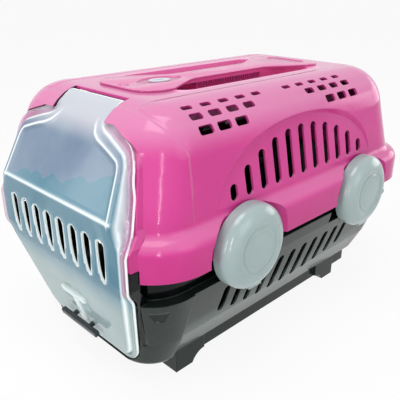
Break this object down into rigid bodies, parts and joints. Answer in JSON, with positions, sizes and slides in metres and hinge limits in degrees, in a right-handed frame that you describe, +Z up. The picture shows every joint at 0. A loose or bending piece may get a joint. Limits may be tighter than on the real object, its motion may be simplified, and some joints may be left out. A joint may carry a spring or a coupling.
{
  "type": "pet carrier",
  "caption": "Rounded plastic pet carrier with a domed slotted top, clear hinged front door with push latch, wheel-shaped side clips and a carry handle over a roof well.",
  "frame": {"origin": "on the floor under the middle of the carrier", "axes": "+Z up, the door faces -Y, +X is the carrier's right side as seen from the front"},
  "size_m": [0.3182, 0.487, 0.306],
  "materials": {
    "shell_plastic": "glossy moulded hot pink",
    "tub_plastic": "glossy moulded dark grey",
    "door_plastic": "clear to frosted moulded plastic with a blue tint",
    "latch_plastic": "satin charcoal",
    "wheel_plastic": "satin off-white",
    "badge_plastic": "pearl grey",
    "pin_plastic": "moulded grey-white",
    "screw_steel": "zinc plated"
  },
  "bodies": {
    "carrier": {"base_tub": "tub_plastic", "top_shell": "shell_plastic", "hinge_pin_left": "pin_plastic", "hinge_pin_right": "pin_plastic", "carry_handle": "shell_plastic", "handle_grip": "shell_plastic", "handle_badge": "badge_plastic", "handle_screws": "screw_steel", "clip_pin_front_left": "pin_plastic", "clip_pin_front_right": "pin_plastic", "clip_pin_rear_left": "pin_plastic", "clip_pin_rear_right": "pin_plastic"},
    "door": {"front_door": "door_plastic"},
    "latch": {"latch_bar": "latch_plastic"},
    "clip_front_left": {"wheel_clip_front_left": "wheel_plastic"},
    "clip_front_right": {"wheel_clip_front_right": "wheel_plastic"},
    "clip_rear_left": {"wheel_clip_rear_left": "wheel_plastic"},
    "clip_rear_right": {"wheel_clip_rear_right": "wheel_plastic"}
  },
  "joints": [
    {"name": "door_hinge", "type": "hinge", "parent": "carrier", "child": "door", "pos_m": [0, -0.17824, 0.2962], "axis": [-1, 0, 0], "range_deg": [0, 110]},
    {"name": "latch_slide", "type": "slide", "parent": "door", "child": "latch", "axis": [0, -0.2643, 0.9644], "range_m": [0, 0.007], "stiffness_N_per_m": 150, "springref_m": -0.004},
    {"name": "clip_hinge_front_left", "type": "hinge", "parent": "carrier", "child": "clip_front_left", "pos_m": [-0.1395, -0.105, 0.1186], "axis": [0, -1, 0], "range_deg": [0, 95]},
    {"name": "clip_hinge_front_right", "type": "hinge", "parent": "carrier", "child": "clip_front_right", "pos_m": [0.1395, -0.105, 0.1186], "axis": [0, 1, 0], "range_deg": [0, 95]},
    {"name": "clip_hinge_rear_left", "type": "hinge", "parent": "carrier", "child": "clip_rear_left", "pos_m": [-0.1395, 0.112, 0.1186], "axis": [0, -1, 0], "range_deg": [0, 95]},
    {"name": "clip_hinge_rear_right", "type": "hinge", "parent": "carrier", "child": "clip_rear_right", "pos_m": [0.1395, 0.112, 0.1186], "axis": [0, 1, 0], "range_deg": [0, 95]}
  ]
}
